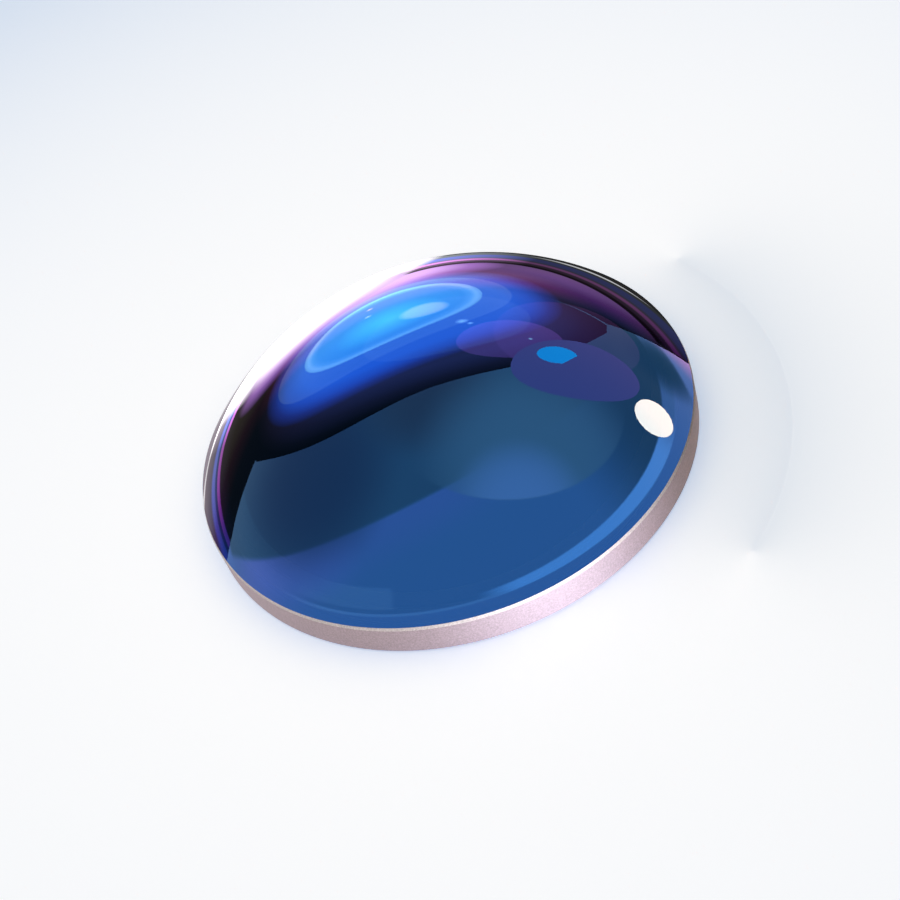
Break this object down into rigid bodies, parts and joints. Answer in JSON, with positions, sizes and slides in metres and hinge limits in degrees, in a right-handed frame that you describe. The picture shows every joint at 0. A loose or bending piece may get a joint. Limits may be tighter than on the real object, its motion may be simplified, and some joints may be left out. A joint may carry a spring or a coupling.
{
  "type": "plano-convex lens",
  "caption": "Round plano-convex lens: flat face on one side, steep spherical face on the other, ground cylindrical edge with fine bevels, blue-violet coated.",
  "frame": {"origin": "centre of the flat (plano) face, which is the lowest face of the lens at rest", "axes": "+Z along the optical axis, from the plano face out through the vertex of the convex face; the lens is round about Z, so X and Y are free"},
  "size_m": [0.02, 0.02, 0.0061],
  "materials": {
    "coated_glass": "polished optical glass with a blue-violet anti-reflection coating; the cylindrical edge is fine-ground"
  },
  "bodies": {
    "root": {"lens": "coated_glass"}
  },
  "joints": []
}
